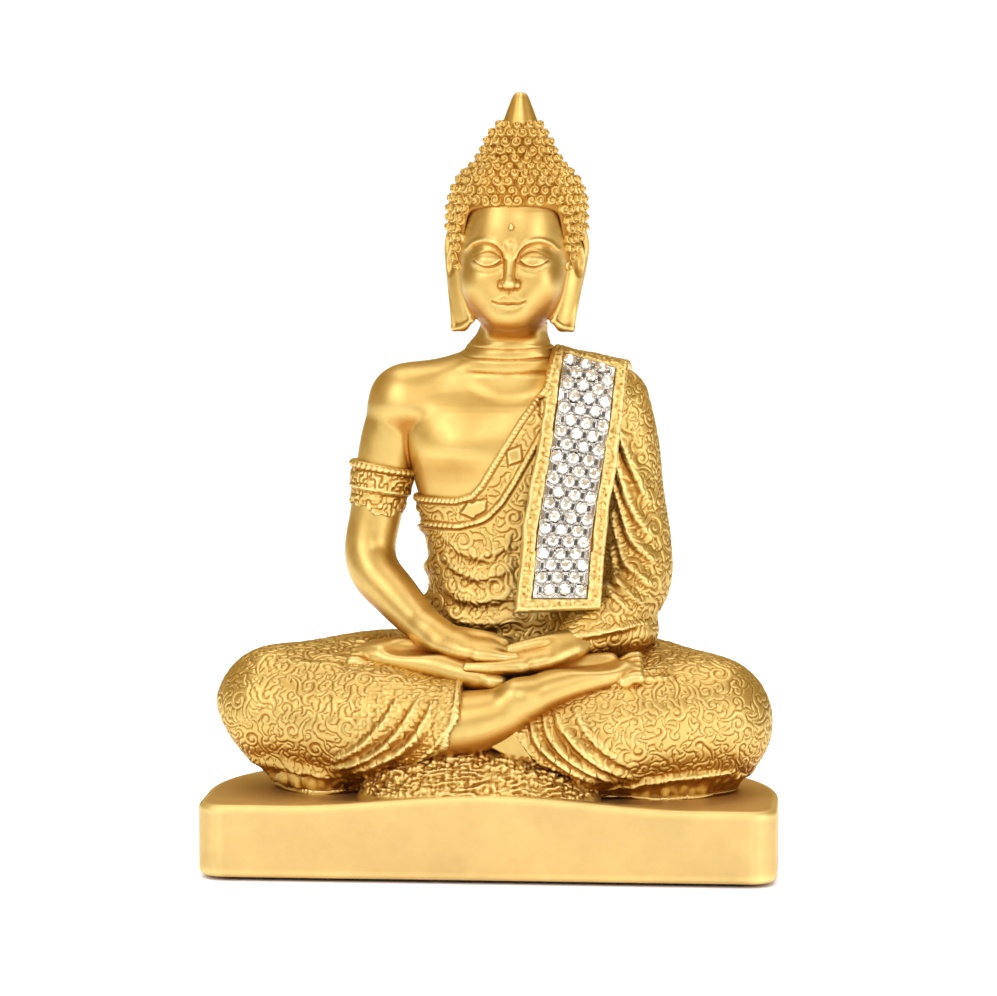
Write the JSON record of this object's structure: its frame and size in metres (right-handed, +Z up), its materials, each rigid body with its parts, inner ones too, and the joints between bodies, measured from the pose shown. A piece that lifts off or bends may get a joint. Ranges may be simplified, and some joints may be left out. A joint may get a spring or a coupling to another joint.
{
  "type": "seated buddha statue",
  "caption": "Seated meditating figure in a bordered robe with a rhinestone sash, on a low round-backed plinth.",
  "frame": {"origin": "middle of the bounding box's bottom, on the felt's underside", "axes": "+Z up, the figure faces -Y, +X to the viewer's right (the figure's left)"},
  "size_m": [0.169, 0.082, 0.2286],
  "materials": {
    "felt": "matte",
    "plinth_gold": "satin",
    "robe_gold": "satin",
    "skin_gold": "satin",
    "hair_gold": "satin",
    "glue": "satin",
    "net_silver": "gloss",
    "stone_crystal": "polished"
  },
  "bodies": {
    "root": {"felt_pad": "felt", "plinth": "plinth_gold", "right_leg": "robe_gold", "left_leg": "robe_gold", "right_foot": "skin_gold", "left_foot": "skin_gold", "hem_drape": "robe_gold", "torso": "skin_gold", "robe": "robe_gold", "right_arm": "skin_gold", "armlet": "robe_gold", "left_sleeve": "robe_gold", "left_hand": "skin_gold", "right_hand": "skin_gold", "head": "skin_gold", "hair": "hair_gold", "finial": "hair_gold", "sash": "robe_gold", "glue_film": "glue", "stone_net": "net_silver", "stones": "stone_crystal"}
  },
  "joints": []
}
